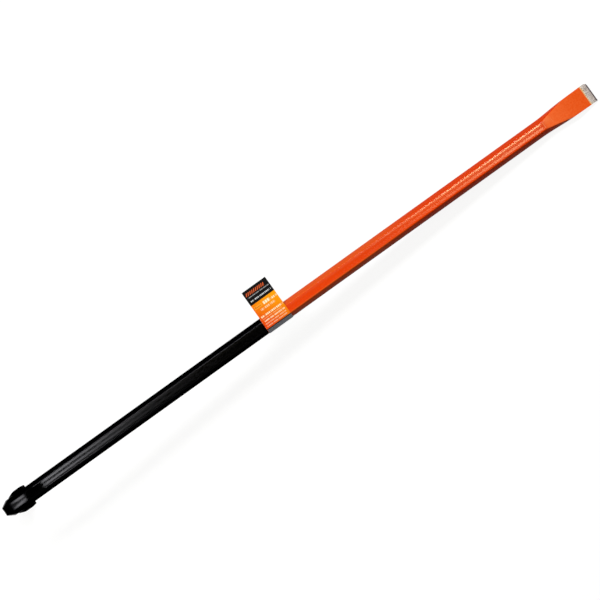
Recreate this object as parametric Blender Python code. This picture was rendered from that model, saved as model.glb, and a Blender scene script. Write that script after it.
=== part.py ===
"""Hexagonal wrecking bar: a steel forging with a split claw on a gooseneck hook at one end
and a flared chisel at the other, enamelled in two colours, with a folded paper flag label.

The bar is modelled along +X, from the outermost point of its hook at x = 0 to the chisel's
edge. Its spine faces +Z and its hook bends down. An empty then tilts it so that the claw and
the chisel both stand on z = 0, as a bar lies on a floor.
"""

import math

import bmesh
import bpy
from mathutils import Matrix, Vector

# Shank
OVERALL_LENGTH = 0.900  # outermost point of the hook to the chisel's edge
ACROSS_FLATS = 0.0193
EDGE_SETBACK = 0.0007  # how far the rounding of a long edge reaches from its corner
HOLLOW_WIDTH = 0.0072  # the shallow hollow along the spine and the belly
HOLLOW_DEPTH = 0.00035

# Hook, from the shank to the claw
HOOK_RADIUS = 0.0505  # of the centre line
HOOK_SWEEP = math.radians(115)
CLAW_RADIUS = 0.125
CLAW_SWEEP = math.radians(20)

# Claw, its lengths counted back from the tips along the centre line
CLAW_WIDTH = 0.0302
CLAW_TIP_WIDTH = 0.0284
CLAW_FULL_FROM = 0.013  # the claw is at its full width from here
CLAW_FULL_TO = 0.0165  # to here
CLAW_FLARE_END = 0.038  # the claw has come down to the shank's width here
CLAW_FACE_END = 0.055  # the claw's flat faces have come down to the hexagon's here
CLAW_TIP_THICKNESS = 0.0018
CLAW_WEDGE_ANGLE = math.radians(8.7)  # of each face to the centre line
CLAW_RUNOUT = 0.003  # the wedge eases into the shank from this far under its thickness
CLAW_CORNER = 0.0015
SLOT_MOUTH = 0.0140
SLOT_APEX_RADIUS = 0.0016
SLOT_LENGTH = 0.034
SLOT_DRAFT = 0.0012  # the slot is wider by this, on each side, at the inside of the hook

# Chisel, its lengths counted back from the edge
CHISEL_WIDTH = 0.0265
CHISEL_EDGE_WIDTH = 0.0274
CHISEL_FULL_WIDTH_FROM = 0.036
CHISEL_FLARE_START = 0.082
CHISEL_FACE_START = 0.0725
CHISEL_SHOULDER = 0.061  # the steeper ramp ends here and the long wedge begins
CHISEL_SHOULDER_THICKNESS = 0.0164
CHISEL_BEVEL_LENGTH = 0.0093
CHISEL_BEVEL_THICKNESS = 0.0052
CHISEL_EDGE_THICKNESS = 0.0020
CHISEL_CORNER = 0.0030

# Enamel
COAT_THICKNESS = 0.0005
COAT_CLEARANCE = 0.0003  # between a coat and the steel, and between the two coats
COLOUR_SEAM = 0.3985  # where black meets orange, from the hook's outermost point
BARE_CLAW = 0.0025  # worn bare back from the claw's tips

# Label
LABEL_PAST_SEAM = 0.0005  # from the colours' seam to the label's edge
LABEL_WIDTH = 0.0357
LABEL_REACH = 0.0497  # the flag's outer edge, from the bar's centre line
LABEL_PLY = 0.0004
LABEL_CLEARANCE = 0.0003

# How finely round shapes are divided
HOOK_STEPS = 26
CLAW_STEPS = 7
TAPER_STEPS = 4  # from the claw's tips to its full width
CORNER_STEPS = 3
SLOT_STEPS = 8
FLARE_STEPS = 7

# The search for the tilt at which the bar rests
STEEPEST_TILT = math.radians(30)
TILT_HALVINGS = 60

# Limits that keep a slice's details apart where the slice is small
MOST_SETBACK = 0.35  # of the side beside a rounded edge
MOST_HOLLOW = 0.9  # of what the rounded edges leave of a face
CUTTER_OVERRUN = 0.004  # how far a cutter runs past what it cuts

HALF_FLATS = ACROSS_FLATS / 2
HALF_CORNERS = HALF_FLATS / math.cos(math.radians(30))
HALF_FACE = HALF_CORNERS / 2
BEND_START = HOOK_RADIUS + HALF_FLATS
HOOK_ARC = HOOK_RADIUS * HOOK_SWEEP
CLAW_ARC = CLAW_RADIUS * CLAW_SWEEP
HOOK_RUN = HOOK_ARC + CLAW_ARC
CORE_INSET = COAT_THICKNESS + COAT_CLEARANCE

PAINTS = {
    "bare_steel": ((0.62, 0.57, 0.55), 0.32, 1.0),
    "black_enamel": ((0.006, 0.006, 0.007), 0.30, 0.0),
    "orange_enamel": ((0.80, 0.075, 0.004), 0.34, 0.0),
    "label_print": ((0.90, 0.30, 0.03), 0.45, 0.0),
}


def ease(value, start, end):
    """0 at start, 1 at end, with no kink at either."""
    share = min(max((value - start) / (end - start), 0.0), 1.0)
    return share * share * (3 - 2 * share)


def soft_min(first, second, reach):
    """The smaller of the two, rounded over where they differ by less than reach."""
    share = max(reach - abs(first - second), 0.0) / reach
    return min(first, second) - share * share * reach / 4


def ramp(value, start, end, low, high):
    """Runs straight from low at start to high at end, and stays level outside."""
    share = min(max((value - start) / (end - start), 0.0), 1.0)
    return low + (high - low) * share


class Section:
    """A slice across the bar: a hexagon that can flatten to a rectangle.

    face is half the width of its top and bottom faces, waist half its width at the middle,
    and thick half its thickness.
    """

    def __init__(self, face, waist, thick, hollow, trim_left=0.0, trim_right=0.0):
        self.face = face
        self.waist = waist
        self.thick = thick
        self.hollow = hollow
        self.trim_left = trim_left
        self.trim_right = trim_right

    def outline(self, inset):
        """Its points (y, z), anticlockwise, with every side moved in by inset."""
        slope = math.hypot(self.thick, self.waist - self.face)
        face = self.face - inset * (slope - (self.waist - self.face)) / self.thick
        waist = self.waist - inset * slope / self.thick
        thick = self.thick - inset
        corners = [
            Vector((waist, 0)),
            Vector((face, thick)),
            Vector((-face, thick)),
            Vector((-waist, 0)),
            Vector((-face, -thick)),
            Vector((face, -thick)),
        ]
        side = (corners[1] - corners[0]).length
        setback = min(EDGE_SETBACK, MOST_SETBACK * side, MOST_SETBACK * face)
        hollow_half = min(HOLLOW_WIDTH / 2, MOST_HOLLOW * (face - setback))
        points = []
        for index, corner in enumerate(corners):
            before = corner + setback * (corners[index - 1] - corner).normalized()
            after = corner + setback * (corners[(index + 1) % 6] - corner).normalized()
            points += [before, (before + after + 2 * corner) / 4, after]
            if index in (1, 4):
                along = -1 if index == 1 else 1
                for share in (-1, -0.5, 0, 0.5, 1):
                    depth = self.hollow * (1 - share * share)
                    level = (thick - depth) * -along
                    points.append(Vector((along * share * hollow_half, level)))
        most = waist - self.trim_left
        least = -(waist - self.trim_right)
        return [(min(max(p.x, least), most), p.y) for p in points]


def hook_point(run):
    """The centre line's place and its turn, run along the hook from the end of the shank."""
    first = min(run, HOOK_ARC) / HOOK_RADIUS
    x = BEND_START - HOOK_RADIUS * math.sin(first)
    z = -HOOK_RADIUS * (1 - math.cos(first))
    if run <= HOOK_ARC:
        return x, z, first
    turn = HOOK_SWEEP + (run - HOOK_ARC) / CLAW_RADIUS
    x -= CLAW_RADIUS * (math.sin(turn) - math.sin(HOOK_SWEEP))
    z += CLAW_RADIUS * (math.cos(turn) - math.cos(HOOK_SWEEP))
    return x, z, turn


def corner_trim(distance, radius):
    """How much a rounded corner of this radius takes off the width, this far from the edge."""
    if distance >= radius:
        return 0.0
    return radius - math.sqrt(radius**2 - (radius - distance) ** 2)


def claw_section(back):
    """The slice of the hook this far back from the claw's tips."""
    widening = ease(back, 0, CLAW_FULL_FROM)
    flat_waist = (CLAW_TIP_WIDTH + (CLAW_WIDTH - CLAW_TIP_WIDTH) * widening) / 2
    narrowing = ease(back, CLAW_FULL_TO, CLAW_FLARE_END)
    waist = flat_waist + (HALF_CORNERS - flat_waist) * narrowing
    squareness = 1 - ease(back, CLAW_FULL_TO, CLAW_FACE_END)
    face = HALF_FACE + (flat_waist - HALF_FACE) * squareness
    face = min(face, waist)
    wedge = CLAW_TIP_THICKNESS / 2 + back * math.tan(CLAW_WEDGE_ANGLE)
    thick = soft_min(wedge, HALF_FLATS, CLAW_RUNOUT)
    hollow = HOLLOW_DEPTH * ease(back, CLAW_FLARE_END, CLAW_FACE_END)
    trim = corner_trim(back, CLAW_CORNER)
    return Section(face, waist, thick, hollow, trim, trim)


def chisel_section(back):
    """The slice of the chisel end this far back from its edge."""
    half_width = ramp(back, 0, CHISEL_FULL_WIDTH_FROM, CHISEL_EDGE_WIDTH, CHISEL_WIDTH) / 2
    waist = half_width + (HALF_CORNERS - half_width) * ease(
        back, CHISEL_FULL_WIDTH_FROM, CHISEL_FLARE_START
    )
    face = ramp(back, CHISEL_FULL_WIDTH_FROM, CHISEL_FACE_START, half_width, HALF_FACE)
    if back < CHISEL_BEVEL_LENGTH:
        thick = ramp(back, 0, CHISEL_BEVEL_LENGTH, CHISEL_EDGE_THICKNESS, CHISEL_BEVEL_THICKNESS)
    elif back < CHISEL_SHOULDER:
        thick = ramp(
            back,
            CHISEL_BEVEL_LENGTH,
            CHISEL_SHOULDER,
            CHISEL_BEVEL_THICKNESS,
            CHISEL_SHOULDER_THICKNESS,
        )
    else:
        thick = ramp(
            back, CHISEL_SHOULDER, CHISEL_FACE_START, CHISEL_SHOULDER_THICKNESS, ACROSS_FLATS
        )
    hollow = HOLLOW_DEPTH * ease(back, CHISEL_FACE_START, CHISEL_FACE_START + HOLLOW_WIDTH)
    trim = corner_trim(back, CHISEL_CORNER)
    return Section(min(face, waist), waist, thick / 2, hollow, trim, 0.0)


def hook_ring(back, inset):
    """The slice's points in space, this far back from the claw's tips."""
    x, z, turn = hook_point(HOOK_RUN - back)
    outward = Vector((-math.sin(turn), 0, math.cos(turn)))
    points = claw_section(back).outline(inset)
    return [Vector((x, y, z)) + outward * level for y, level in points]


def shank_ring(x, inset):
    """The slice's points in space, on the straight part of the bar."""
    points = chisel_section(OVERALL_LENGTH - x).outline(inset)
    return [Vector((x, y, level)) for y, level in points]


def corner_stations(radius):
    """Distances from the edge at which a corner of this radius is divided."""
    return [
        radius * (1 - math.cos(math.pi / 2 * n / CORNER_STEPS)) for n in range(1, CORNER_STEPS + 1)
    ]


def claw_stations():
    """Distances from the claw's tips, up to where the shank begins."""
    taper = [CLAW_FULL_FROM * n / TAPER_STEPS for n in range(1, TAPER_STEPS + 1)]
    flare = [
        CLAW_FULL_TO + (CLAW_FACE_END - CLAW_FULL_TO) * n / CLAW_STEPS
        for n in range(CLAW_STEPS + 1)
    ]
    bend = [
        CLAW_FACE_END + (HOOK_RUN - CLAW_FACE_END) * n / HOOK_STEPS
        for n in range(1, HOOK_STEPS + 1)
    ]
    return sorted(set(corner_stations(CLAW_CORNER) + taper + flare + bend))


def chisel_stations():
    """Distances from the chisel's edge, from where the flare begins."""
    flare = [
        CHISEL_FULL_WIDTH_FROM + (CHISEL_FLARE_START - CHISEL_FULL_WIDTH_FROM) * n / FLARE_STEPS
        for n in range(FLARE_STEPS + 1)
    ]
    named = [
        CHISEL_BEVEL_LENGTH,
        CHISEL_SHOULDER,
        CHISEL_FACE_START,
        CHISEL_FACE_START + HOLLOW_WIDTH / 2,
        CHISEL_FACE_START + HOLLOW_WIDTH,
    ]
    return sorted(set(corner_stations(CHISEL_CORNER) + flare + named), reverse=True)


def loft(name, rings):
    """A closed solid through rings of points, which run from the hook's end.

    Every four-sided patch is split the same way, so that nested skins keep their distance.
    """
    mesh_maker = bmesh.new()
    loops = [[mesh_maker.verts.new(point) for point in ring] for ring in rings]
    mesh_maker.faces.new(loops[0])
    mesh_maker.faces.new(list(reversed(loops[-1])))
    for first, second in zip(loops, loops[1:]):
        for index in range(len(first)):
            after = (index + 1) % len(first)
            mesh_maker.faces.new((first[index], second[index], second[after]))
            mesh_maker.faces.new((first[index], second[after], first[after]))
    bmesh.ops.recalc_face_normals(mesh_maker, faces=mesh_maker.faces)
    mesh = bpy.data.meshes.new(name)
    mesh_maker.to_mesh(mesh)
    mesh_maker.free()
    return add_object(name, mesh)


def add_object(name, data):
    made = bpy.data.objects.new(name, data)
    bpy.context.scene.collection.objects.link(made)
    return made


def make_cutter(made):
    """Keeps a guide solid out of the finished model."""
    made.hide_render = True
    made.display_type = "WIRE"
    return made


def cut(target, cutter):
    boolean = target.modifiers.new("cut_" + cutter.name, "BOOLEAN")
    boolean.operation = "DIFFERENCE"
    boolean.solver = "EXACT"
    boolean.object = cutter


def paint(made, slot):
    colour, roughness, metallic = PAINTS[slot]
    material = bpy.data.materials.new(slot)
    material.use_nodes = True
    shader = material.node_tree.nodes["Principled BSDF"]
    shader.inputs["Base Color"].default_value = (*colour, 1.0)
    shader.inputs["Roughness"].default_value = roughness
    shader.inputs["Metallic"].default_value = metallic
    made.data.materials.append(material)


def slot_outline(widen, tip_widen):
    """Half of the nail slot's V, from its mouth to its round apex: (back from the tips, y).

    tip_widen takes the place of widen along the claw's bare tips. The last two points of the
    whole V face each other across the middle, so none lies on the hollow's lowest line.
    """
    radius = SLOT_APEX_RADIUS + widen
    centre = SLOT_LENGTH - SLOT_APEX_RADIUS
    rise = (SLOT_MOUTH / 2 - SLOT_APEX_RADIUS) / centre
    lean = math.atan(rise)
    points = [(-CUTTER_OVERRUN, SLOT_MOUTH / 2 + tip_widen + rise * CUTTER_OVERRUN)]
    if tip_widen != widen:
        step = BARE_CLAW - COAT_THICKNESS
        points.append((step, SLOT_MOUTH / 2 + tip_widen - rise * step))
        points.append((step, SLOT_MOUTH / 2 + widen - rise * step))
    for step in range(SLOT_STEPS):
        angle = lean + (math.pi / 2 - lean) * step / (SLOT_STEPS - 0.5)
        points.append((centre + radius * math.sin(angle), radius * math.cos(angle)))
    return points


def nail_slot_cutter(name, widen, tip_widen):
    """A wedge through the claw, square to its middle, a little wider inside the hook."""
    middle_x, middle_z, turn = hook_point(HOOK_RUN - SLOT_LENGTH / 2)
    backward = Vector((math.cos(turn), 0, math.sin(turn)))
    outward = Vector((-math.sin(turn), 0, math.cos(turn)))
    middle = Vector((middle_x, 0, middle_z))
    reach = HALF_FLATS + CUTTER_OVERRUN
    rings = []
    for level, extra in ((-reach, SLOT_DRAFT), (reach, 0)):
        half = slot_outline(widen + extra, tip_widen + extra)
        whole = half + [(back, -y) for back, y in reversed(half)]
        rings.append(
            [
                middle + backward * (back - SLOT_LENGTH / 2) + Vector((0, y, 0)) + outward * level
                for back, y in whole
            ]
        )
    return make_cutter(loft(name, rings))


def hook_rings(inset, start, end):
    """Slices of the hook between two distances from the claw's tips."""
    kept = [back for back in claw_stations() if start < back < end]
    return [hook_ring(back, inset) for back in [start] + kept + [end]]


def chisel_rings(inset, end):
    """Slices of the chisel end, up to this distance from its edge."""
    kept = [back for back in chisel_stations() if back > end]
    return [shank_ring(OVERALL_LENGTH - back, inset) for back in kept + [end]]


def forged_bar():
    """The steel: thinner by the enamel where it is coated, and flush with it where it is bare."""
    rings = hook_rings(0, 0, BARE_CLAW)
    rings += hook_rings(CORE_INSET, BARE_CLAW, HOOK_RUN)
    rings += chisel_rings(CORE_INSET, CHISEL_BEVEL_LENGTH)
    bare = [back for back in chisel_stations() if back < CHISEL_BEVEL_LENGTH]
    for back in [CHISEL_BEVEL_LENGTH] + bare + [0]:
        rings.append(shank_ring(OVERALL_LENGTH - back, 0))
    steel = loft("forged_bar", rings)
    cut(steel, nail_slot_cutter("steel_slot_cutter", CORE_INSET, 0))
    paint(steel, "bare_steel")
    return steel


def black_coat():
    """The enamel on the hook's half, which also lines the nail slot."""
    seam = COLOUR_SEAM - COAT_CLEARANCE / 2
    end = BARE_CLAW + COAT_CLEARANCE
    outside = hook_rings(0, end, HOOK_RUN) + [shank_ring(seam, 0)]
    coat = loft("black_coat", outside)
    inside = hook_rings(COAT_THICKNESS, BARE_CLAW / 2, HOOK_RUN)
    inside.append(shank_ring(seam + CUTTER_OVERRUN, COAT_THICKNESS))
    core = make_cutter(loft("black_core_cutter", inside))
    cut(coat, nail_slot_cutter("coat_slot_cutter", 0, 0))
    cut(core, nail_slot_cutter("core_slot_cutter", COAT_THICKNESS, COAT_THICKNESS))
    cut(coat, core)
    paint(coat, "black_enamel")
    return coat


def orange_coat():
    """The enamel on the chisel's half, which stops short of the ground edge."""
    seam = COLOUR_SEAM + COAT_CLEARANCE / 2
    end = CHISEL_BEVEL_LENGTH + COAT_CLEARANCE
    coat = loft("orange_coat", [shank_ring(seam, 0)] + chisel_rings(0, end))
    inside = [shank_ring(seam - CUTTER_OVERRUN, COAT_THICKNESS)]
    inside += chisel_rings(COAT_THICKNESS, CHISEL_BEVEL_LENGTH / 2)
    cut(coat, make_cutter(loft("orange_core_cutter", inside)))
    paint(coat, "orange_enamel")
    return coat


def flag_label():
    """A strip folded round the shank, whose ends are stuck together beside it as a flag."""
    inner = HALF_FLATS + LABEL_CLEARANCE
    outer = inner + LABEL_PLY
    flag_under = outer - 2 * LABEL_PLY
    tan30 = math.tan(math.radians(30))
    side = 2 * outer * tan30
    wrap = [
        (LABEL_REACH, outer),
        (-side / 2, outer),
        (-side, 0),
        (-side / 2, -outer),
        (side / 2, -outer),
        (side, 0),
        (side - flag_under * tan30, flag_under),
        (LABEL_REACH, flag_under),
    ]
    hole = []
    for sixth in range(6):
        angle = math.radians(60 * sixth)
        radius = 2 * inner * tan30
        hole.append((radius * math.cos(angle), radius * math.sin(angle)))
    curve = bpy.data.curves.new("flag_label", "CURVE")
    curve.dimensions = "2D"
    curve.fill_mode = "BOTH"
    curve.extrude = LABEL_WIDTH / 2
    for outline in (wrap, hole):
        spline = curve.splines.new("POLY")
        spline.points.add(len(outline) - 1)
        for point, (y, z) in zip(spline.points, outline):
            point.co = (y, z, 0, 1)
        spline.use_cyclic_u = True
    label = add_object("flag_label", curve)
    label.location = (COLOUR_SEAM + LABEL_PAST_SEAM + LABEL_WIDTH / 2, 0, 0)
    label.rotation_euler = (math.pi / 2, 0, math.pi / 2)
    paint(label, "label_print")
    return label


def resting_tilt(points):
    """The turn about Y at which the claw and the chisel's end are equally low."""
    hook_side = [p for p in points if p.x < BEND_START]
    chisel_side = [p for p in points if p.x > OVERALL_LENGTH - CHISEL_FLARE_START]
    low, high = 0.0, STEEPEST_TILT
    for _ in range(TILT_HALVINGS):
        middle = (low + high) / 2
        turn = Matrix.Rotation(middle, 3, "Y")
        claw_lowest = min((turn @ p).z for p in hook_side)
        chisel_lowest = min((turn @ p).z for p in chisel_side)
        if chisel_lowest > claw_lowest:
            low = middle
        else:
            high = middle
    return (low + high) / 2


def world_points(made):
    """The vertices of each object as it stands, with its modifiers."""
    graph = bpy.context.evaluated_depsgraph_get()
    points = []
    for item in made:
        shown = item.evaluated_get(graph)
        mesh = shown.to_mesh()
        points += [shown.matrix_world @ vertex.co for vertex in mesh.vertices]
        shown.to_mesh_clear()
    return points


def stand_on_floor(pieces):
    """Tilts the bar onto its claw and its chisel, centred over the origin."""
    bpy.context.view_layer.update()
    tilt = resting_tilt(world_points([pieces[0]]))
    turned = [Matrix.Rotation(tilt, 3, "Y") @ point for point in world_points(pieces)]
    middle_x = (min(p.x for p in turned) + max(p.x for p in turned)) / 2
    middle_y = (min(p.y for p in turned) + max(p.y for p in turned)) / 2
    rest = add_object("rest_pose", None)
    rest.rotation_euler = (0, tilt, 0)
    rest.location = (-middle_x, -middle_y, -min(p.z for p in turned))
    for item in bpy.context.scene.objects:
        if item is not rest and item.parent is None:
            item.parent = rest
    print(f"the bar rests at {math.degrees(tilt):.3f} degrees")
    print("its hook's outermost point was moved to", [round(value, 5) for value in rest.location])


def main():
    for item in list(bpy.data.objects):
        bpy.data.objects.remove(item, do_unlink=True)
    stand_on_floor([forged_bar(), black_coat(), orange_coat(), flag_label()])


main()
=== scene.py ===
# %% [markdown]
# # A forged wrecking bar
# The real tool starts as a straight length of hexagonal steel. A smith draws one end out into a
# flared chisel and the other into a split claw, and only then bends the claw end into a hook.
# Half of it is dipped in black enamel and half in orange, the chisel's edge is ground bare, and a
# paper label is folded round the middle. This lesson follows the same order.
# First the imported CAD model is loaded. It fixes where each piece belongs, in metres.

# %% Load the fixed frame
import math

import bmesh
import bpy
from mathutils import Matrix, Vector, noise


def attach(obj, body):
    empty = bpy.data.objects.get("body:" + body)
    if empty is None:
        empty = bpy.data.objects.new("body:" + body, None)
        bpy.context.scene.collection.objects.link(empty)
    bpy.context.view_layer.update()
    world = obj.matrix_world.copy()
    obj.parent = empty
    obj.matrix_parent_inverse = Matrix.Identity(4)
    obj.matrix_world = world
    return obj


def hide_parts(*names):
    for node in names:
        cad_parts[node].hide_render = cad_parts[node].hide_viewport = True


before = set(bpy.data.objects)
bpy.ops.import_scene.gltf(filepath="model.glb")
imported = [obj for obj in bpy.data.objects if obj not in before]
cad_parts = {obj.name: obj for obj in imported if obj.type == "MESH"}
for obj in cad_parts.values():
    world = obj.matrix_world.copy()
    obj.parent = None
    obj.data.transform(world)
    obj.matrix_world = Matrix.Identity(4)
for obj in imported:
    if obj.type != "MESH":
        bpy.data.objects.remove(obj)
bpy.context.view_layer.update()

print("CAD nodes:", sorted(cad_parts))

# %% [markdown]
# ## The bar's own frame
# The bar is modelled lying along X with its spine up, and rests tilted by seven degrees, on its
# claw and its chisel. One matrix takes every finished mesh from the bar's frame to the floor.

# %% How the bar rests
REST_TILT = 0.1231216
REST_PLACE = Vector((-0.4435776, -0.0173, 0.1119679))
TO_FLOOR = Matrix.Translation(REST_PLACE) @ Matrix.Rotation(REST_TILT, 4, "Y")

LENGTH = 0.900
HALF_FLATS = 0.0193 / 2
HALF_CORNERS = HALF_FLATS / math.cos(math.radians(30))
HALF_FACE = HALF_CORNERS / 2
print("the spine's direction:", [round(value, 4) for value in TO_FLOOR.to_3x3() @ Vector((0, 0, 1))])

# %% [markdown]
# ## Camera
# The photograph looks straight down onto the spine, from so far away that the bar doesn't narrow
# towards its low hook. An orthographic camera would do the same, but one very long lens shows
# how perspective fades with distance. The camera is built from the bar's own directions: the
# length runs up to the right at 35.6 degrees, and the label's side is the upper left. It leans
# towards the hook by less than a degree.

# %% Camera
PHOTO_SIDE = 600
MM_A_PIXEL = 1.2455
BAR_ANGLE = math.radians(35.6415)
CAMERA_DISTANCE = 34.0
LEAN = math.radians(0.77)
SENSOR = 36.0
AXIS_MARK = Vector((0.4565, 0, 0))  # this point of the bar's axis
AXIS_MARK_PIXEL = (301.68, 298.38)  # is at this pixel of the photograph

turn = TO_FLOOR.to_3x3()
along, sideways, spine = turn.col[0], turn.col[1], turn.col[2]
level = math.cos(LEAN) * along + math.sin(LEAN) * spine
backwards = math.cos(LEAN) * spine - math.sin(LEAN) * along
right = math.cos(BAR_ANGLE) * level - math.sin(BAR_ANGLE) * sideways
up = math.sin(BAR_ANGLE) * level + math.cos(BAR_ANGLE) * sideways
middle_pixel = (PHOTO_SIDE - 1) / 2
aside = (AXIS_MARK_PIXEL[0] - middle_pixel) * MM_A_PIXEL / 1000
above = (middle_pixel - AXIS_MARK_PIXEL[1]) * MM_A_PIXEL / 1000
aim = TO_FLOOR @ AXIS_MARK - aside * right - above * up

lens = bpy.data.cameras.new("camera")
lens.sensor_width = SENSOR
lens.lens = SENSOR * CAMERA_DISTANCE / (PHOTO_SIDE * MM_A_PIXEL / 1000)
lens.clip_end = 100
camera = bpy.data.objects.new("camera", lens)
bpy.context.scene.collection.objects.link(camera)
camera.matrix_world = Matrix.Translation(aim + CAMERA_DISTANCE * backwards) @ Matrix(
    (right, up, backwards)
).transposed().to_4x4()
bpy.context.scene.camera = camera
bpy.context.scene.view_settings.view_transform = "Standard"
print(f"lens {lens.lens:.1f} mm, camera at {[round(value, 3) for value in camera.location]}")

# %% [markdown]
# ## Working as by hand
# Blender's operators act on whatever is selected. Two helpers keep that in order: one makes a
# piece the only selected thing, and the other picks vertices in edit mode by a rule.

# %% Selecting
def alone(piece):
    """Makes the piece the only selected one, and the active one."""
    if bpy.context.object and bpy.context.object.mode != "OBJECT":
        bpy.ops.object.mode_set(mode="OBJECT")
    bpy.ops.object.select_all(action="DESELECT")
    piece.select_set(True)
    bpy.context.view_layer.objects.active = piece


def edit(piece, select="VERT"):
    """Opens the piece in edit mode with nothing selected."""
    alone(piece)
    bpy.ops.object.mode_set(mode="EDIT")
    bpy.ops.mesh.select_mode(type=select)
    bpy.ops.mesh.select_all(action="DESELECT")


def pick(piece, wanted, kind="verts"):
    """Selects the vertices, edges or faces that the rule wants, and nothing else."""
    bpy.ops.mesh.select_all(action="DESELECT")
    mesh = bmesh.from_edit_mesh(piece.data)
    count = 0
    for item in getattr(mesh, kind):
        if wanted(item):
            item.select = True
            count += 1
    mesh.select_flush_mode()
    bmesh.update_edit_mesh(piece.data)
    return count


def done():
    """Back to object mode."""
    bpy.ops.object.mode_set(mode="OBJECT")


# %% [markdown]
# ## The slices of the forging
# A slice across the bar is a hexagon that flattens to a rectangle at both ends. Four numbers
# describe it: half the width of its flat faces, half its width at the waist, half its thickness,
# and the depth of the hollow along the spine. The claw is measured from its tips, the chisel
# from its edge.

# %% Slices
HOLLOW_WIDTH = 0.0102
HOLLOW_DEPTH = 0.00028
HOLLOW_ASIDE = -0.00045

CLAW_TIP_WIDTH = 0.0284
CLAW_WIDTH = 0.0302
CLAW_WIDEST = 0.013
CLAW_NARROWS = 0.0165
CLAW_WAIST_PLAIN = 0.038
CLAW_FACE_PLAIN = 0.055
CLAW_TIP_HALF = 0.0009
CLAW_WEDGE = math.radians(8.7)
CLAW_SOFTENING = 0.003

CHISEL_WIDTH = 0.0274
CHISEL_NECK_WIDTH = 0.0265
CHISEL_NARROWS = 0.036
CHISEL_WAIST_PLAIN = 0.082
GROUND_LENGTH = 0.0093
RIDGE_AT = 0.061
SHOULDER_AT = 0.0725
HOLLOW_STARTS = 0.0751
EDGE_THICKNESS = 0.0020
GROUND_THICKNESS = 0.0052
RIDGE_THICKNESS = 0.0164


def ease(value, start, end):
    """0 at start, 1 at end, with no kink at either."""
    share = min(max((value - start) / (end - start), 0.0), 1.0)
    return share * share * (3 - 2 * share)


def ramp(value, start, end, low, high):
    """Straight from low at start to high at end, and level outside."""
    share = min(max((value - start) / (end - start), 0.0), 1.0)
    return low + (high - low) * share


def claw_slice(back):
    """Half face, half waist, half thickness and hollow, this far back from the claw's tips."""
    flat = (CLAW_TIP_WIDTH + (CLAW_WIDTH - CLAW_TIP_WIDTH) * ease(back, 0, CLAW_WIDEST)) / 2
    waist = flat + (HALF_CORNERS - flat) * ease(back, CLAW_NARROWS, CLAW_WAIST_PLAIN)
    face = HALF_FACE + (flat - HALF_FACE) * (1 - ease(back, CLAW_NARROWS, CLAW_FACE_PLAIN))
    wedge = CLAW_TIP_HALF + back * math.tan(CLAW_WEDGE)
    near = max(CLAW_SOFTENING - abs(wedge - HALF_FLATS), 0) / CLAW_SOFTENING
    thick = min(wedge, HALF_FLATS) - near * near * CLAW_SOFTENING / 4
    hollow = HOLLOW_DEPTH * ease(back, CLAW_WAIST_PLAIN, CLAW_FACE_PLAIN)
    return min(face, waist), waist, thick, hollow


def chisel_slice(back):
    """The same four numbers, this far back from the chisel's edge."""
    half = ramp(back, 0, CHISEL_NARROWS, CHISEL_WIDTH, CHISEL_NECK_WIDTH) / 2
    waist = half + (HALF_CORNERS - half) * ease(back, CHISEL_NARROWS, CHISEL_WAIST_PLAIN)
    face = ramp(back, CHISEL_NARROWS, SHOULDER_AT, half, HALF_FACE)
    thick = ramp(back, 0, GROUND_LENGTH, EDGE_THICKNESS, GROUND_THICKNESS)
    if back > GROUND_LENGTH:
        thick = ramp(back, GROUND_LENGTH, RIDGE_AT, GROUND_THICKNESS, RIDGE_THICKNESS)
    if back > RIDGE_AT:
        thick = ramp(back, RIDGE_AT, SHOULDER_AT, RIDGE_THICKNESS, 2 * HALF_FLATS)
    hollow = HOLLOW_DEPTH * ease(back, SHOULDER_AT, HOLLOW_STARTS)
    return min(face, waist), waist, thick / 2, hollow


PLAIN_SLICE = (HALF_FACE, HALF_CORNERS, HALF_FLATS, HOLLOW_DEPTH)
print("slice at the claw's widest:", [round(1000 * value, 2) for value in claw_slice(0.015)])

# %% [markdown]
# ## Drawing out the blank
# The blank is modelled straight, in a frame where X is the length measured from the claw's tips,
# Y is the spine's side and Z the width. A hexagon gets rounded edges from a vertex bevel and a
# shallow hollow on two faces. It is then extruded station by station, and each new ring is
# squeezed to its slice, as a smith draws out hot steel. Extruding keeps clean rings of faces,
# which later carry the forging's uneven skin.

# %% Start the blank
HOOK_RADIUS = 0.0505
HOOK_TURN = math.radians(115)
CLAW_RADIUS = 0.125
CLAW_TURN = math.radians(20)
HOOK_RUN = HOOK_RADIUS * HOOK_TURN + CLAW_RADIUS * CLAW_TURN
BEND_START = HOOK_RADIUS + HALF_FLATS
FULL_RUN = HOOK_RUN + LENGTH - BEND_START
EDGE_SETBACK = 0.0009
WAIST_SETBACK = 0.0004
FACE_STEPS = 8  # rows of points from the middle of the spine or belly to its edge
SHANK_CUTS = 100  # rings along the plain shank

bpy.ops.object.select_all(action="DESELECT")
bpy.ops.mesh.primitive_circle_add(
    vertices=6,
    radius=HALF_CORNERS,
    fill_type="NGON",
    location=(HOOK_RUN, 0, 0),
    rotation=(math.pi / 2, 0, math.pi / 2),
)
blank = bpy.context.object
blank.name = "bar_blank"
bpy.ops.object.transform_apply(location=True, rotation=True, scale=True)

edit(blank)
pick(blank, lambda v: abs(v.co.y) > 0.5 * HALF_FLATS)
bpy.ops.mesh.bevel(offset=EDGE_SETBACK, segments=3, affect="VERTICES", profile=0.5)
pick(blank, lambda v: abs(v.co.y) < 1e-5)
bpy.ops.mesh.bevel(offset=WAIST_SETBACK, segments=3, affect="VERTICES", profile=0.5)
done()
edit(blank, "EDGE")
pick(
    blank,
    lambda edge: all(abs(abs(v.co.y) - HALF_FLATS) < 1e-5 for v in edge.verts)
    and edge.calc_length() > HALF_FACE,
    "edges",
)
bpy.ops.mesh.subdivide(number_cuts=2 * FACE_STEPS - 1)
done()
print("points round the blank:", len(blank.data.vertices))

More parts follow.
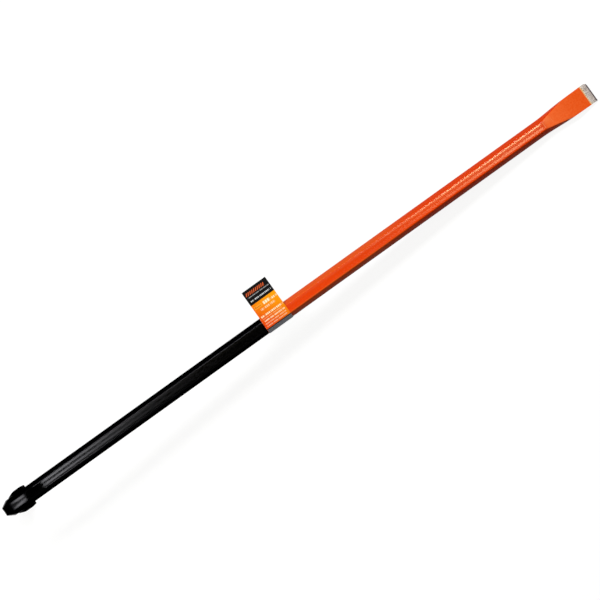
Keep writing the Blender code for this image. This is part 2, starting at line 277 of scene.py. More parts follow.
# %% The hollow along the spine and the belly
edit(blank)
for step in range(-FACE_STEPS, FACE_STEPS + 1):
    across = step * (HALF_FACE - EDGE_SETBACK) / FACE_STEPS
    depth = HOLLOW_DEPTH * (1 - ((across - HOLLOW_ASIDE) / (HOLLOW_WIDTH / 2)) ** 2)
    for side in (1, -1):
        if depth > 0 and pick(
            blank,
            lambda v: abs(v.co.z - across) < 1e-4 and v.co.y * side > 0.9 * HALF_FLATS,
        ):
            bpy.ops.transform.translate(value=(0, -side * depth, 0))
done()

# %% [markdown]
# Each squeeze scales part of the newest ring about its centre. The flat faces get the new face's
# width and the waist gets the new waist's, and a point between them, on a rounded edge, gets the
# width that the straight side has at its height. Then everything is squeezed in thickness.
# Where the sides are upright they are pressed flat, and a rounded corner is drawn in from them.

# %% Extrude and squeeze
ON_FACE = 0.75  # a point within this share of the face's half width is on the flat
ON_EDGE = 0.96  # a point beyond this share of the outermost one is on the side


def share_down(co, shape):
    """0 on the two flat faces and 1 at the waist, for a point of a ring."""
    face, _, thick, _ = shape
    if abs(co.z) < ON_FACE * face:
        return 0.0
    return round(1 - abs(co.y) / thick, 3)


def ring_at(piece, x):
    """Where the points of the ring at x are."""
    return [v.co.copy() for v in bmesh.from_edit_mesh(piece.data).verts if abs(v.co.x - x) < 1e-6]


def squeeze(piece, x, wanted, sizes, centre=(0, 0)):
    """Scales the wanted points of the ring at x about a centre in its plane."""
    if pick(piece, lambda v: abs(v.co.x - x) < 1e-6 and wanted(v.co)):
        bpy.ops.transform.resize(value=sizes, center_override=(x, *centre))


def draw_out(piece, x, target, old, new, trims=(0.0, 0.0)):
    """Extrudes the ring at x to the target, and squeezes it from its old slice to its new one."""
    pick(piece, lambda v: abs(v.co.x - x) < 1e-6)
    bpy.ops.mesh.extrude_region_move(TRANSFORM_OT_translate={"value": (target - x, 0, 0)})
    if new != old:
        for side in (1, -1):
            squeeze(
                piece,
                target,
                lambda co: co.y * side > 0.5 * old[2] and abs(co.z) < ON_FACE * old[0],
                (1, new[3] / old[3] if old[3] else 1, 1),
                (side * old[2], 0),
            )
        for down in sorted({share_down(co, old) for co in ring_at(piece, target)}):
            before = old[0] + (old[1] - old[0]) * down
            after = new[0] + (new[1] - new[0]) * down
            squeeze(
                piece, target, lambda co: share_down(co, old) == down, (1, 1, after / before)
            )
        squeeze(piece, target, lambda co: True, (1, new[2] / old[2], 1))
    for side, trim in zip((1, -1), trims):
        if trim or new[0] > 0.99 * new[1]:
            outermost = side * max(co.z * side for co in ring_at(piece, target))
            squeeze(
                piece, target, lambda co: co.z / outermost > ON_EDGE, (1, 1, 0), (0, outermost)
            )
            share = (new[1] - trim) / abs(outermost)
            squeeze(piece, target, lambda co: co.z / outermost > 0, (1, 1, share))


def corner_trim(back, radius):
    """What a rounded corner takes off the width, this far back from the edge."""
    return 0.0 if back >= radius else radius - math.sqrt(radius**2 - (radius - back) ** 2)


def stations(start, gap, count):
    """Places for rings at even gaps, running out towards the end of the bar."""
    return [start - gap * step for step in range(count)]


CLAW_CORNER = 0.0015
CHISEL_CORNER = 0.0040

# The rings lie closest together where the shape changes most.
claw_stations = [
    back
    for back in stations(0.145, 0.0025, 36)
    if CLAW_FACE_PLAIN + 0.001 < back < HOOK_RUN - 0.001
]
claw_stations += stations(CLAW_FACE_PLAIN, 0.0022, 24)
claw_stations += [0.0028, 0.0015, 0.00075, 0.0002, 0.0]
claw_stations = sorted({round(back, 6) for back in claw_stations}, reverse=True)

edit(blank)
place, old = HOOK_RUN, PLAIN_SLICE
for back in claw_stations:
    new = claw_slice(back)
    trim = corner_trim(back, CLAW_CORNER)
    draw_out(blank, place, back, old, new, (trim, trim))
    place, old = back, new
done()
print("claw end drawn out:", len(blank.data.vertices), "vertices")

# %% The chisel end
chisel_stations = [0.0845] + stations(CHISEL_WAIST_PLAIN, 0.0023, 20)
chisel_stations += [SHOULDER_AT, RIDGE_AT, CHISEL_NARROWS]
chisel_stations += stations(0.0335, 0.0025, 10)
chisel_stations += [GROUND_LENGTH, 0.0070, 0.0046, CHISEL_CORNER]
chisel_stations += [0.0030, 0.0020, 0.0012, 0.0005, 0.0001, 0.0]
chisel_stations = sorted({round(back, 6) for back in chisel_stations}, reverse=True)

edit(blank)
place, old = HOOK_RUN, PLAIN_SLICE
for back in chisel_stations:
    new = chisel_slice(back)
    trim = corner_trim(back, CHISEL_CORNER)
    draw_out(blank, place, FULL_RUN - back, old, new, (0.0, trim))
    place, old = FULL_RUN - back, new
bpy.ops.mesh.select_all(action="SELECT")
bpy.ops.mesh.normals_make_consistent(inside=False)
done()

edit(blank, "EDGE")
pick(blank, lambda edge: abs(edge.verts[0].co.x - edge.verts[1].co.x) > 0.3, "edges")
bpy.ops.mesh.subdivide(number_cuts=SHANK_CUTS)
done()
print("blank drawn out:", len(blank.data.vertices), "vertices,", round(FULL_RUN, 4), "m long")

# %% [markdown]
# ## Splitting the claw
# The nail slot is a V with a round apex. It could be modelled into the rings, but a smith cuts
# it with a hot chisel, and a Boolean cut does the same. The cutter starts as a cylinder: the
# half towards the tips is pulled out and widened to the slot's mouth, and its lower end is a
# little wider, as the slot is inside the hook. Cuts across its long walls let them bend later.

# %% Slot cutter
SLOT_LENGTH = 0.034
SLOT_MOUTH = 0.0140
APEX_RADIUS = 0.0016
SLOT_DRAFT = 0.0012
SLOT_CUTS = 14
MOUTH_AT = -0.004  # the cutter ends a little beyond the claw's tips

bpy.ops.object.select_all(action="DESELECT")
bpy.ops.mesh.primitive_cylinder_add(
    vertices=30,
    radius=APEX_RADIUS,
    depth=0.04,
    location=(SLOT_LENGTH - APEX_RADIUS, 0, 0),
    rotation=(math.pi / 2, 0, 0),
)
slot_cutter = bpy.context.object
slot_cutter.name = "slot_cutter"
bpy.ops.object.transform_apply(location=True, rotation=True, scale=True)
edit(slot_cutter)
apex = SLOT_LENGTH - APEX_RADIUS
pick(slot_cutter, lambda v: v.co.x < apex - 1e-5)
bpy.ops.transform.resize(value=(0, 1, 1), center_override=(MOUTH_AT, 0, 0))
mouth = (SLOT_MOUTH / 2 - APEX_RADIUS) * (apex - MOUTH_AT) / apex + APEX_RADIUS
bpy.ops.transform.resize(value=(1, 1, mouth / APEX_RADIUS), center_override=(MOUTH_AT, 0, 0))
pick(slot_cutter, lambda v: v.co.y < 0 and v.co.x < apex - 1e-5)
bpy.ops.transform.resize(value=(1, 1, 1 + SLOT_DRAFT / mouth), center_override=(0, 0, 0))
bpy.ops.mesh.select_all(action="SELECT")
bpy.ops.mesh.normals_make_consistent(inside=False)
done()
edit(slot_cutter, "EDGE")
pick(slot_cutter, lambda edge: abs(edge.verts[0].co.x - edge.verts[1].co.x) > 0.01, "edges")
bpy.ops.mesh.subdivide(number_cuts=SLOT_CUTS)
done()


# %% Cut it
def apply_modifier(piece, name, kind, **settings):
    """Adds a modifier with these settings and applies it."""
    alone(piece)
    modifier = piece.modifiers.new(name, kind)
    for key, value in settings.items():
        setattr(modifier, key, value)
    bpy.ops.object.modifier_apply(modifier=modifier.name)


apply_modifier(
    blank, "split", "BOOLEAN", operation="DIFFERENCE", solver="EXACT", object=slot_cutter
)
bpy.data.objects.remove(slot_cutter, do_unlink=True)
print("claw split:", len(blank.data.vertices), "vertices")

# %% [markdown]
# ## The forging's skin
# Rolling and forging leave long, shallow waves along the bar, and the hammered chisel face is
# dappled. A displacement by a cloud texture gives both in the mesh itself. It only ever takes
# away, at most 0.06 mm for the waves and 0.1 mm for the dapple, so the bar never outgrows its
# size. The waves are stretched along the bar by reading them through an empty that is eight
# times as long as it is wide.

# %% Uneven skin
def stretched(name, scale):
    """An empty whose axes a texture is read along."""
    guide = bpy.data.objects.new(name, None)
    guide.scale = scale
    bpy.context.scene.collection.objects.link(guide)
    bpy.context.view_layer.update()
    return guide


def displace(piece, name, size, octaves, depth, guide, group=""):
    """Takes up to this depth off the piece's skin, after a cloud texture."""
    texture = bpy.data.textures.new(name, "CLOUDS")
    texture.noise_scale = size
    texture.noise_depth = octaves
    apply_modifier(
        piece,
        name,
        "DISPLACE",
        texture=texture,
        strength=depth,
        mid_level=1.0,
        texture_coords="OBJECT",
        texture_coords_object=guide,
        vertex_group=group,
    )


DAPPLE_FADES_IN = (0.0075, 0.012)
DAPPLE_FADES_OUT = (0.070, 0.076)
face_group = blank.vertex_groups.new(name="chisel_face")
for vertex in blank.data.vertices:
    back = FULL_RUN - vertex.co.x
    weight = ease(back, *DAPPLE_FADES_IN) * (1 - ease(back, *DAPPLE_FADES_OUT))
    if abs(vertex.co.y) > 0.8 * chisel_slice(back)[2] and weight > 0:
        face_group.add([vertex.index], weight, "REPLACE")

lengthwise = stretched("lengthwise_guide", (8, 1, 1))
even = stretched("even_guide", (1, 1, 1))
displace(blank, "rolling_waves", size=0.014, octaves=0, depth=0.00006, guide=lengthwise)
displace(
    blank, "hammer_marks", size=0.0030, octaves=2, depth=0.0001, guide=even, group="chisel_face"
)
for guide in (lengthwise, even):
    bpy.data.objects.remove(guide, do_unlink=True)

# %% [markdown]
# Enamel runs round the hook with the steel, so its pattern has to follow the bend. The straight
# blank's coordinates are stored on its points now, and the finishes read them later.

# %% Remember the straight shape
def remember_straight(piece):
    """Stores each point's present place with it."""
    kept = piece.data.attributes.new("straight", "FLOAT_VECTOR", "POINT")
    for vertex in piece.data.vertices:
        kept.data[vertex.index].vector = vertex.co


remember_straight(blank)

# %% [markdown]
# ## Bending the hook
# A smith bends the finished claw end round a former. Here the former is a curve that starts at
# the claw's tips, runs round the hook and along the shank, and the Curve modifier wraps the
# straight blank along it. The bend lies in the plane that the modifier works in, so the bar is
# stood up afterwards.

# %% Bend
def hook_point(run):
    """The centre line, this far along the hook from the end of the shank."""
    first = min(run, HOOK_RADIUS * HOOK_TURN) / HOOK_RADIUS
    x = BEND_START - HOOK_RADIUS * math.sin(first)
    z = -HOOK_RADIUS * (1 - math.cos(first))
    rest = run - HOOK_RADIUS * HOOK_TURN
    if rest > 0:
        end = HOOK_TURN + rest / CLAW_RADIUS
        x -= CLAW_RADIUS * (math.sin(end) - math.sin(HOOK_TURN))
        z += CLAW_RADIUS * (math.cos(end) - math.cos(HOOK_TURN))
    return x, z


def bend_along(piece, points):
    """Wraps a piece that lies along X round a flat path of points."""
    curve = bpy.data.curves.new("former", "CURVE")
    curve.dimensions = "2D"
    spline = curve.splines.new("POLY")
    spline.points.add(len(points) - 1)
    for point, (x, y) in zip(spline.points, points):
        point.co = (x, y, 0, 1)
    former = bpy.data.objects.new("former", curve)
    bpy.context.scene.collection.objects.link(former)
    apply_modifier(piece, "bend", "CURVE", object=former, deform_axis="POS_X")
    bpy.data.objects.remove(former, do_unlink=True)


HOOK_STEPS = 240
bar_path = [hook_point(HOOK_RUN * (1 - step / HOOK_STEPS)) for step in range(HOOK_STEPS + 1)]
bar_path += [(millimetres / 1000, 0) for millimetres in range(100, 900, 20)] + [(LENGTH, 0)]
bend_along(blank, bar_path)
blank.rotation_euler = (math.pi / 2, 0, 0)
alone(blank)
bpy.ops.object.transform_apply(location=True, rotation=True, scale=True)


def size_of(piece):
    """The piece's lowest and highest corner, in millimetres."""
    points = [vertex.co for vertex in piece.data.vertices]
    return [
        [round(1000 * pick_from(point[axis] for point in points), 2) for axis in range(3)]
        for pick_from in (min, max)
    ]


print("bent blank, in millimetres:", size_of(blank))

# %% [markdown]
# ## Steel and two enamels
# The bar is dipped in black up to the middle and in orange from the other end, so each enamel is
# a film of its own over the steel. Copies of the blank are bisected at the seam of the colours
# and short of the ground edge. Solidify gives each its thickness inwards, so that the outside
# keeps its size, and the steel is drawn in under them. The orange stops at the grinding in a
# ragged line, which is made by moving the points of its rim.

# %% Films
SEAM = 0.3985
PAINT_END = LENGTH - 0.0085
FILM = 0.00014
FILM_GAP = 0.00004
RIM_WAVE = 0.0011


def copy_of(piece, name):
    """A second piece with a mesh of its own."""
    alone(piece)
    bpy.ops.object.duplicate()
    made = bpy.context.object
    made.name = made.data.name = name
    return made


def slice_off(piece, x, behind):
    """Bisects square to the bar and removes what lies behind, or in front of, the plane."""
    edit(piece)
    bpy.ops.mesh.select_all(action="SELECT")
    bpy.ops.mesh.bisect(
        plane_co=(x, 0, 0), plane_no=(1, 0, 0), clear_inner=behind, clear_outer=not behind
    )
    done()


black = copy_of(blank, "black_enamel")
slice_off(black, SEAM - FILM_GAP, False)
orange = copy_of(blank, "orange_enamel")
slice_off(orange, SEAM + FILM_GAP, True)
slice_off(orange, PAINT_END, False)

edit(orange)
orange.data.update()
rim = [
    (vertex.co.copy(), vertex.normal.copy())
    for vertex in bmesh.from_edit_mesh(orange.data).verts
    if abs(vertex.co.x - PAINT_END) < 1e-6
]
for place, normal in rim:
    slow = noise.noise(Vector((0, place.y * 190, place.z * 60)))
    fine = noise.noise(Vector((7, place.y * 700, place.z * 200)))
    push = Vector((RIM_WAVE * (slow + 0.5 * fine), 0, 0))
    push -= push.dot(normal) * normal
    pick(orange, lambda v: (v.co - place).length < 1e-7)
    bpy.ops.transform.translate(value=push)
done()

for film in (black, orange):
    apply_modifier(
        film, "thickness", "SOLIDIFY", thickness=FILM, offset=-1, use_even_offset=True
    )
    print(film.name, size_of(film))

# %% Steel
steel = blank
steel.name = steel.data.name = "forged_steel"
edit(steel)
bpy.ops.mesh.select_all(action="SELECT")
bpy.ops.transform.shrink_fatten(value=-(FILM + FILM_GAP), use_even_offset=True)
done()
print(steel.name, size_of(steel))

# %% [markdown]
# ## The label
# The label is one strip of coated paper. It starts at the flag's outer edge, crosses the spine,
# is folded round the hexagon and comes back to the outer edge under itself, where its two ends
# are glued together. A flat grid is folded by the same Curve method as the hook, so that its UV
# map stays the flat print. The path has a small radius at each fold.

# %% Fold the label
LABEL_START = 0.3990
LABEL_WIDTH = 0.0357
LABEL_REACH = 0.0496
PAPER = 0.00022
FOLD_RADIUS = 0.0007
FOLD_STEPS = 5
LOOSENESS = 0.00062  # how far the outside of the paper stands off the bar
GLUE = 0.00003
top = HALF_FLATS + LOOSENESS
under = top - 2 * PAPER - GLUE
side = 2 * top / math.sqrt(3)
corners = [
    (LABEL_REACH, top),
    (-side / 2, top),
    (-side, 0),
    (-side / 2, -top),
    (side / 2, -top),
    (side, 0),
    (side - under / math.sqrt(3), under),
    (LABEL_REACH, under),
]


def rounded(points, radius, steps):
    """The path with an arc-like curve of this reach at each inner corner."""
    path = [Vector(points[0])]
    for before, corner, after in zip(points, points[1:], points[2:]):
        corner = Vector(corner)
        enter = corner + radius * (Vector(before) - corner).normalized()
        leave = corner + radius * (Vector(after) - corner).normalized()
        for step in range(steps + 1):
            share = step / steps
            path.append(enter.lerp(corner, share).lerp(corner.lerp(leave, share), share))
    return path + [Vector(points[-1])]


label_path = rounded(corners, FOLD_RADIUS, FOLD_STEPS)
strip_length = sum((b - a).length for a, b in zip(label_path, label_path[1:]))
FRONT_LENGTH = LABEL_REACH + side / 2

LABEL_GRID = (230, 14)
bpy.ops.object.select_all(action="DESELECT")
bpy.ops.mesh.primitive_grid_add(
    x_subdivisions=LABEL_GRID[0],
    y_subdivisions=LABEL_GRID[1],
    size=1,
    calc_uvs=True,
    rotation=(math.pi / 2, 0, 0),
)
label = bpy.context.object
label.name = label.data.name = "paper_label"
label.scale = (strip_length, LABEL_WIDTH, 1)
label.location = (strip_length / 2, 0, 0)
bpy.ops.object.transform_apply(location=True, rotation=True, scale=True)
bend_along(label, [tuple(point) for point in label_path])
label.rotation_euler = (math.pi / 2, 0, math.pi / 2)
label.location = (LABEL_START + LABEL_WIDTH / 2, 0, 0)
alone(label)
bpy.ops.object.transform_apply(location=True, rotation=True, scale=True)
print("strip", round(1000 * strip_length, 1), "mm long, folded to", size_of(label))

# %% [markdown]
# Handling has left the flag not quite flat. Its outer edge droops by 0.6 mm at one corner and by
# 1.3 mm at the other, and its middle is a quarter of a millimetre lower than its sides.

# %% Droop
FLAG_STARTS = 0.012
DROOP = 0.0013
DISH = 0.00025
for vertex in label.data.vertices:
    out = max(vertex.co.y - FLAG_STARTS, 0) / (LABEL_REACH - FLAG_STARTS)
    across = (vertex.co.x - LABEL_START) / LABEL_WIDTH
    vertex.co.z -= DROOP * out * out * (0.45 + 0.55 * across)
    vertex.co.z -= DISH * math.sin(math.pi * across) * min(out * 3, 1)
apply_modifier(label, "paper", "SOLIDIFY", thickness=PAPER, offset=-1, use_even_offset=True)
print("label", size_of(label))

# %% Set every piece down on the floor
SMOOTH_BELOW = math.radians(32)
PIECES = {
    "black_enamel": (black, "black_coat", "black_enamel"),
    "orange_enamel": (orange, "orange_coat", "orange_enamel"),
    "forged_steel": (steel, "forged_bar", "bare_steel"),
    "paper_label": (label, "flag_label", "label_print"),
}
for name, (piece, node, slot) in PIECES.items():
    piece.matrix_world = TO_FLOOR
    alone(piece)
    bpy.ops.object.transform_apply(location=True, rotation=True, scale=True)
    bpy.ops.object.shade_smooth_by_angle(angle=SMOOTH_BELOW)
    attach(piece, "root")
    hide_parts(node)
    print(name, "stands for", node, size_of(piece))

# %% [markdown]
# ## Arithmetic for finishes
# A finish is a tree of shader nodes. It is easier to read as sums, so one small class wraps a
# node's output and turns each operator into a Math node. Every other node is made by one method,
# which sets the node's settings first and its sockets after.

# %% Shader sums
class Wire:
    """The output of a shader node. Arithmetic on it adds Math nodes."""

    def __init__(self, finish, socket):
        self.finish = finish
        self.socket = socket

    def math(self, operation, *values):
        return self.finish.node("ShaderNodeMath", {"operation": operation}, dict(enumerate(values)))

    def __add__(self, other):
        return self.math("ADD", self, other)

    def __sub__(self, other):
        return self.math("SUBTRACT", self, other)

    def __rsub__(self, other):
        return self.math("SUBTRACT", other, self)

    def __mul__(self, other):
        return self.math("MULTIPLY", self, other)

    __radd__ = __add__
    __rmul__ = __mul__

    def steps(self, low, high):
        """0 up to low and 1 from high on, eased between them."""
        return self.finish.node(
            "ShaderNodeMapRange",
            {"interpolation_type": "SMOOTHSTEP"},
            {"Value": self, "From Min": low, "From Max": high},
        )

    def band(self, low, high, soft):
        """1 between low and high, with soft edges."""
        return self.steps(low - soft, low + soft) * (1 - self.steps(high - soft, high + soft))

    def fraction(self):
        return self.math("FRACT", self)

    def largest(self, other):
        return self.math("MAXIMUM", self, other)


class Finish:
    """A material with one Principled shader, built from sums."""

    def __init__(self, name, **constants):
        self.material = bpy.data.materials.new(name)
        self.material.use_nodes = True
        self.tree = self.material.node_tree
        self.shader = self.tree.nodes["Principled BSDF"]
        for socket, value in constants.items():
            self.set(socket.replace("_", " "), value)

    def set(self, socket, value):
        self.feed(self.shader.inputs[socket], value)

    def feed(self, socket, value):
        if isinstance(value, Wire):
            self.tree.links.new(value.socket, socket)
        else:
            socket.default_value = value

    def node(self, kind, settings=None, values=None, output=0):
        made = self.tree.nodes.new(kind)
        for key, value in (settings or {}).items():
            setattr(made, key, value)
        for key, value in (values or {}).items():
            self.feed(made.inputs[key], value)
        return Wire(self, made.outputs[output])

    def blend(self, share, first, second):
        """A colour between the two."""
        values = {0: share, 6: first, 7: second}
        return self.node("ShaderNodeMix", {"data_type": "RGBA"}, values, output=2)

    def noise(self, place, scale, detail=3.0, roughness=0.5, stretch=(1, 1, 1)):
        if stretch != (1, 1, 1):
            place = self.node("ShaderNodeMapping", None, {"Vector": place, "Scale": stretch})
        values = {"Vector": place, "Scale": scale, "Detail": detail, "Roughness": roughness}
        return self.node("ShaderNodeTexNoise", None, values)

    def bump(self, height, metres):
        """Relief of this depth, in metres, under the shader's Normal."""
        values = {"Height": height, "Distance": metres, "Strength": 1.0}
        self.set("Normal", self.node("ShaderNodeBump", None, values))

    def straight(self):
        """Where a point was on the straight blank: length, thickness and width."""
        return self.node("ShaderNodeAttribute", {"attribute_name": "straight"}, None, output=1)

    def axes(self, place):
        parts = self.node("ShaderNodeSeparateXYZ", None, {0: place})
        return [Wire(self, parts.socket.node.outputs[index]) for index in range(3)]


def colour(red, green, blue):
    """A colour given as the numbers a picture editor shows."""
    def light(value):
        value /= 255
        return value / 12.92 if value <= 0.04045 else ((value + 0.055) / 1.055) ** 2.4

    return (light(red), light(green), light(blue), 1.0)


def wear(piece, finish):
    """Makes this the piece's only material."""
    piece.data.materials.clear()
    piece.data.materials.append(finish.material)


# %% [markdown]
# ## Black enamel
# The black is a dipped stoving enamel: nearly black, semi-gloss, with the faint ripple that paint
# keeps over forged steel. It could be a plain dark gloss, but seen along its surface a gloss
# mirrors the white surroundings, and the bar's outline would turn grey. So the shader is a very
# dark metal with its edge tint held back, which mirrors little at any angle. Fine noise in
# roughness and relief breaks the highlights up along the bar. Where the claw works, at the tips,
# the film is scuffed dull.

# %% Black enamel
black_finish = Finish("black_enamel", Metallic=1.0, Specular_Tint=(0.12, 0.12, 0.12, 1))
place = black_finish.straight()
length = black_finish.axes(place)[0]
ripple = black_finish.noise(place, 420, detail=2.0)
streaks = black_finish.noise(place, 300, detail=1.0, stretch=(0.06, 1, 1))
scuffs = black_finish.noise(place, 900, detail=5.0, roughness=0.7)
tips = 1 - length.steps(0.001, 0.009)
scuffed = tips * scuffs.steps(0.52, 0.66)
black_finish.set("Roughness", 0.13 + 0.03 * streaks + 0.3 * scuffed)
black_finish.set(
    "Base Color",
    black_finish.blend(
        scuffed,
        black_finish.blend(streaks, colour(22, 22, 23), colour(32, 32, 33)),
        colour(70, 68, 66),
    ),
)
black_finish.bump(ripple * 0.12 + streaks * 0.9, 0.00004)
wear(black, black_finish)

# %% [markdown]
# ## Orange enamel
# The orange is the same kind of paint. While a dipped bar hangs to dry the film gathers in the
# hollow of the spine, most of all near the chisel, and thins out over the edges. So the gloss is
# a clear coat whose weight follows the hollow. One even gloss could be used, but it would veil
# the facets with the pale floor. Its streaks are left to two strips of light further down. The
# facets beside the hollow carry painted shade and sheen: a deeper orange near the chisel, where
# they lie in shade, and a paler one towards the middle, where they catch a sheen. The hammered
# face is more matt, and its paler colour is painted sheen, for the light that the dapple
# scatters. Thin pale lines where the face meets the shank are painted highlights on those
# creases, and a faint pale patch on one side of the face near the shoulder is painted sheen. At
# the ground edge the grinder has thinned the film to a pale yellowish rim before the bare steel
# starts.

# %% Orange enamel
GATHERED_ASIDE = 0.0004
GATHERED_EDGE = (0.0040, 0.0050)  # from the hollow's middle
HAMMERED_END = (0.068, 0.075)  # this and the next two from the chisel's edge
COAT_FADES = (0.12, 0.40)
PALER_FACETS = (0.25, 0.34)

orange_finish = Finish(
    "orange_enamel",
    Specular_IOR_Level=0.05,
    Specular_Tint=(1, 0.35, 0.05, 1),
    Coat_IOR=2.4,
    Coat_Roughness=0.16,
)
place = orange_finish.straight()
length, _, width = orange_finish.axes(place)
back = FULL_RUN - length
ripple = orange_finish.noise(place, 420, detail=2.0)
streaks = orange_finish.noise(place, 300, detail=1.0, stretch=(0.06, 1, 1))
dapple = orange_finish.noise(place, 460, detail=4.0, roughness=0.6)
reach = width.math("ABSOLUTE", width)
spreading = (CHISEL_NECK_WIDTH / 2 - HALF_FACE) / (SHOULDER_AT - CHISEL_NARROWS)
face_edge = HALF_FACE + (SHOULDER_AT - back) * spreading
hammered = (1 - back.steps(*HAMMERED_END)) * (1 - (reach - face_edge).steps(-0.0004, 0.0004))
orange_finish.set("Roughness", 0.3 + 0.05 * streaks + 0.15 * hammered)
off_middle = width + GATHERED_ASIDE
gathered = 1 - off_middle.math("ABSOLUTE", off_middle).steps(*GATHERED_EDGE)
far_from_edge = back.steps(*COAT_FADES)
orange_finish.set("Coat Weight", gathered * (1 - hammered) * (1 - 0.75 * far_from_edge))
middle = back.steps(*PALER_FACETS)
body = orange_finish.blend(streaks, colour(238, 66, 0), colour(242, 78, 4))
body = orange_finish.blend(middle, body, colour(230, 62, 0))
# Painted shade and sheen: the facets are a deeper orange near the chisel, where they lie in shade, and
# paler towards the middle, where they catch a sheen.
facet_shade_and_sheen = orange_finish.blend(middle, colour(208, 52, 0), colour(222, 93, 33))
body = orange_finish.blend(0.6 * (1 - gathered), body, facet_shade_and_sheen)
# Painted sheen: the hammered face is made paler in the dapple and towards the shoulder.
painted_sheen = dapple.steps(0.3, 0.7) * 0.4 + back.steps(0.010, 0.072) * 0.6
face = orange_finish.blend(painted_sheen, colour(236, 82, 18), colour(250, 112, 54))
mixed = orange_finish.blend(hammered, body, face)
# Painted highlights: thin pale lines on the creases at the shoulder and at the face's ridge.
shoulder_highlight = back.band(SHOULDER_AT - 0.0003, SHOULDER_AT + 0.0006, 0.0003) * 0.6
face_ridge_highlight = back.band(RIDGE_AT - 0.0003, RIDGE_AT + 0.0004, 0.0003) * 0.3
ridge_highlights = shoulder_highlight.largest(face_ridge_highlight)
mixed = orange_finish.blend(ridge_highlights * gathered, mixed, colour(252, 150, 96))
# Painted sheen: a faint pale patch on one side of the hammered face, near the shoulder.
shoulder_sheen = back.band(0.0625, 0.0722, 0.0020) * (1 - width.steps(-0.004, 0.003)) * hammered
mixed = orange_finish.blend(shoulder_sheen * 0.22, mixed, colour(255, 156, 100))
edge_wave = orange_finish.noise(place, 520, detail=3.0)
pale = 1 - (back + 0.0008 * edge_wave).steps(0.0099, 0.0106)
orange_finish.set("Base Color", orange_finish.blend(pale * 0.75, mixed, colour(226, 208, 150)))
orange_finish.bump(ripple * (1 - gathered) * 0.3 + streaks * 0.4 + dapple * hammered * 0.9, 0.00005)
wear(orange, orange_finish)

# %% [markdown]
# ## Bare steel
# The chisel's edge is ground on a coarse wheel. The scratches run along the bar, with a few
# deeper ones, and the steel has a warm grey tone. The last millimetre is darker: that is painted
# shade, for the blunt edge that turns away from the light. A brushed-metal picture could be laid
# over it, but noise that is stretched along the bar follows the real direction of the wheel on
# every side.

# %% Steel
steel_finish = Finish("bare_steel", Metallic=1.0)
place = steel_finish.straight()
scratches = steel_finish.noise(place, 2600, detail=3.0, stretch=(0.035, 1, 1))
deep = steel_finish.noise(place, 1000, detail=1.0, stretch=(0.02, 1, 1)).steps(0.46, 0.66)
cloud = steel_finish.noise(place, 160, detail=2.0)
back = FULL_RUN - steel_finish.axes(place)[0]
steel_finish.set("Roughness", 0.34 + 0.18 * scratches)
tone = steel_finish.blend(scratches, colour(206, 195, 192), colour(240, 233, 230))
tone = steel_finish.blend(deep * 0.45 + cloud * 0.2, tone, colour(158, 144, 138))
tone = steel_finish.blend(0.45 * (1 - back.steps(0.0, 0.0085)), tone, colour(166, 150, 154))
# Painted shade: the last millimetre of the ground edge is darkened, for the blunt edge that turns from
# the light.
painted_edge_shade = 1 - back.steps(0.0008, 0.0021)
steel_finish.set("Base Color", steel_finish.blend(painted_edge_shade, tone, colour(74, 60, 70)))
steel_finish.bump(scratches - deep * 0.6, 0.00003)
wear(steel, steel_finish)

# %% [markdown]
# ## The printed label
# The flag's front is printed with a black header over a panel that runs from orange to
# yellow. The real one carries words. Here there are none: plain dashes stand where lines of
# print would be, and a plain drawing of a bar stands in a pale box. All of it is worked out from
# the strip's UV map, in millimetres from the flag's outer edge and from its left side. Past the
# print a dark line of painted shadow marks the fold, the band round the bar is plain paper with a
# bluish tint that is painted shade, and the back of the flag carries small grey marks.

# %% Label print
print_finish = Finish("label_print", Specular_IOR_Level=0.06, Roughness=0.55)
map_place = print_finish.node("ShaderNodeUVMap", {"uv_map": label.data.uv_layers[0].name})
u, v = print_finish.axes(map_place)[:2]
down = u * (1000 * strip_length)
over = v * (1000 * LABEL_WIDTH)
HEADER = 20.0
FRONT = 1000 * FRONT_LENGTH


def box(low_down, high_down, low_over, high_over, soft=0.12):
    """1 inside a box on the strip, in millimetres."""
    return down.band(low_down, high_down, soft) * over.band(low_over, high_over, soft)


def dashes(low_down, high_down, low_over, high_over, pitch, seed):
    """A row of marks of uneven length, as words look from too far away to read."""
    short = (over * (1 / pitch) + seed).fraction().band(0.12, 0.80, 0.10)
    gaps = (over * (1 / (pitch * 3.7)) + seed * 1.7).fraction().band(0.0, 0.14, 0.03)
    return box(low_down, high_down, low_over, high_over, 0.2) * short * (1 - gaps)


paper_white = colour(236, 236, 234)
slope = over * (0.42 / (1000 * LABEL_WIDTH)) + (1 - (down - HEADER) * (1 / (FRONT - HEADER))) * 0.52
panel = print_finish.blend(slope.steps(0.05, 0.95), colour(230, 74, 4), colour(252, 160, 0))
slant = (over * 0.36 + down * 0.20).fraction().band(0.12, 0.62, 0.08)
header = print_finish.blend(box(3.6, 7.8, 2.2, 29.6) * slant, colour(9, 9, 10), colour(214, 92, 44))
header_lines = dashes(9.6, 10.7, 2.2, 34.0, 1.5, 0.3) * 0.55
header_lines = header_lines.largest(dashes(14.7, 16.5, 3.2, 33.2, 2.1, 0.6) * 0.85)
header = print_finish.blend(header_lines, header, colour(225, 228, 232))

pale_box = box(23.4, 27.6, 1.8, 12.9)
panel = print_finish.blend(pale_box * 0.35, panel, colour(255, 190, 70))
shank = box(25.5, 26.1, 3.0, 11.4)
hook = box(24.4, 26.1, 3.0, 3.7).largest(box(24.4, 24.9, 3.0, 4.8))
panel = print_finish.blend(shank.largest(hook) * 0.75, panel, colour(150, 60, 20))
lines = box(23.6, 27.4, 14.8, 24.6, 0.5) * (over * 0.31 + 0.55).fraction().band(0.10, 0.86, 0.12)
